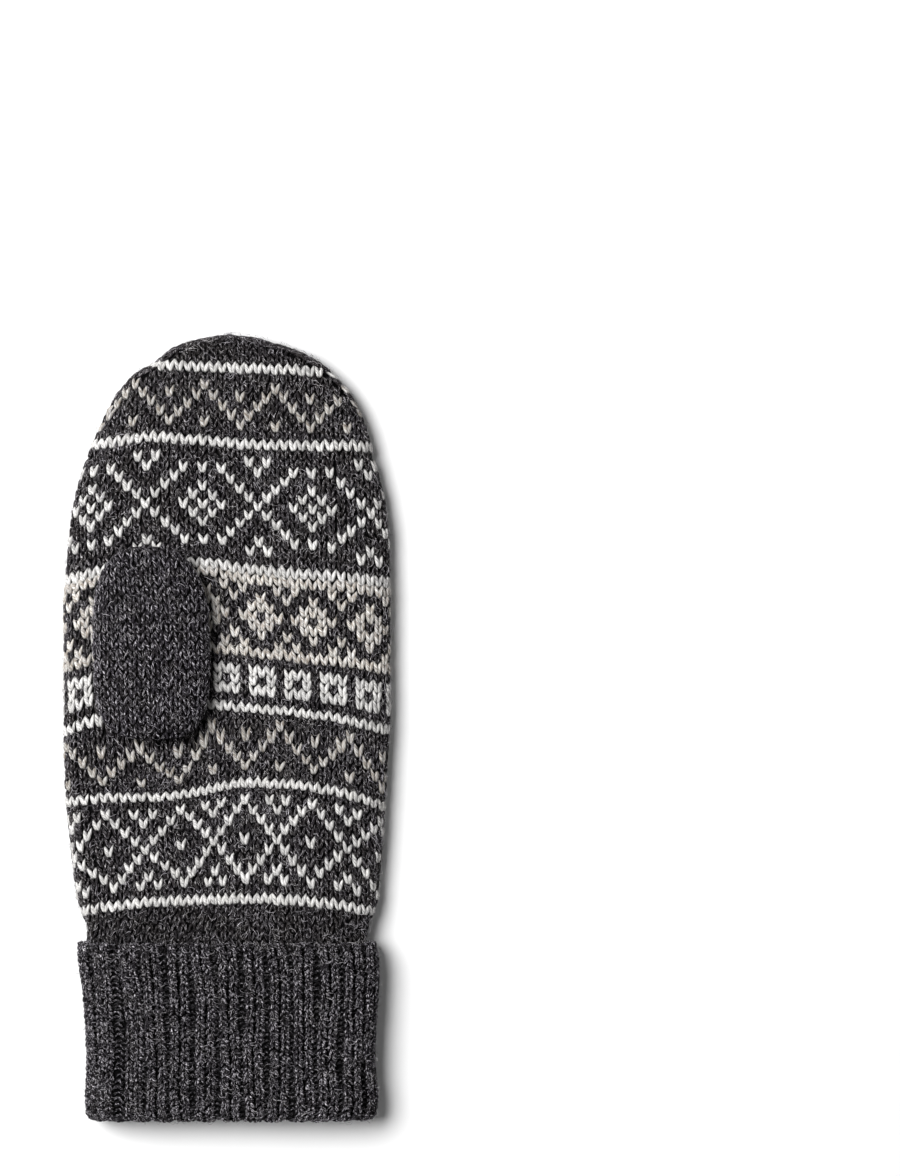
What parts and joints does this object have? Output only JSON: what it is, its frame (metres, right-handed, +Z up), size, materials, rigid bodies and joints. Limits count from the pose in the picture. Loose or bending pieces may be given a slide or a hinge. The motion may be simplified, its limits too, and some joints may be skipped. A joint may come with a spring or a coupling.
{
  "type": "jacquard mitten",
  "caption": "Knitted left-hand mitten with colour-work bands on the hand, a plain thumb and a turned-up ribbed cuff, lying flat palm up.",
  "frame": {"origin": "under the middle of the mitten, on the surface that it lies on", "axes": "+Y from the cuff's fold to the fingertips, +X across the palm away from the thumb's side, +Z up out of the palm"},
  "size_m": [0.1172, 0.28, 0.0252],
  "materials": {
    "charcoal_yarn": "heathered charcoal wool yarn, matt and slightly fuzzy",
    "ecru_yarn": "off-white wool yarn, matt and slightly fuzzy",
    "beige_yarn": "heathered beige wool yarn, matt and slightly fuzzy"
  },
  "bodies": {
    "root": {"hand": "charcoal_yarn", "thumb": "charcoal_yarn", "cuff": "charcoal_yarn"}
  },
  "joints": []
}
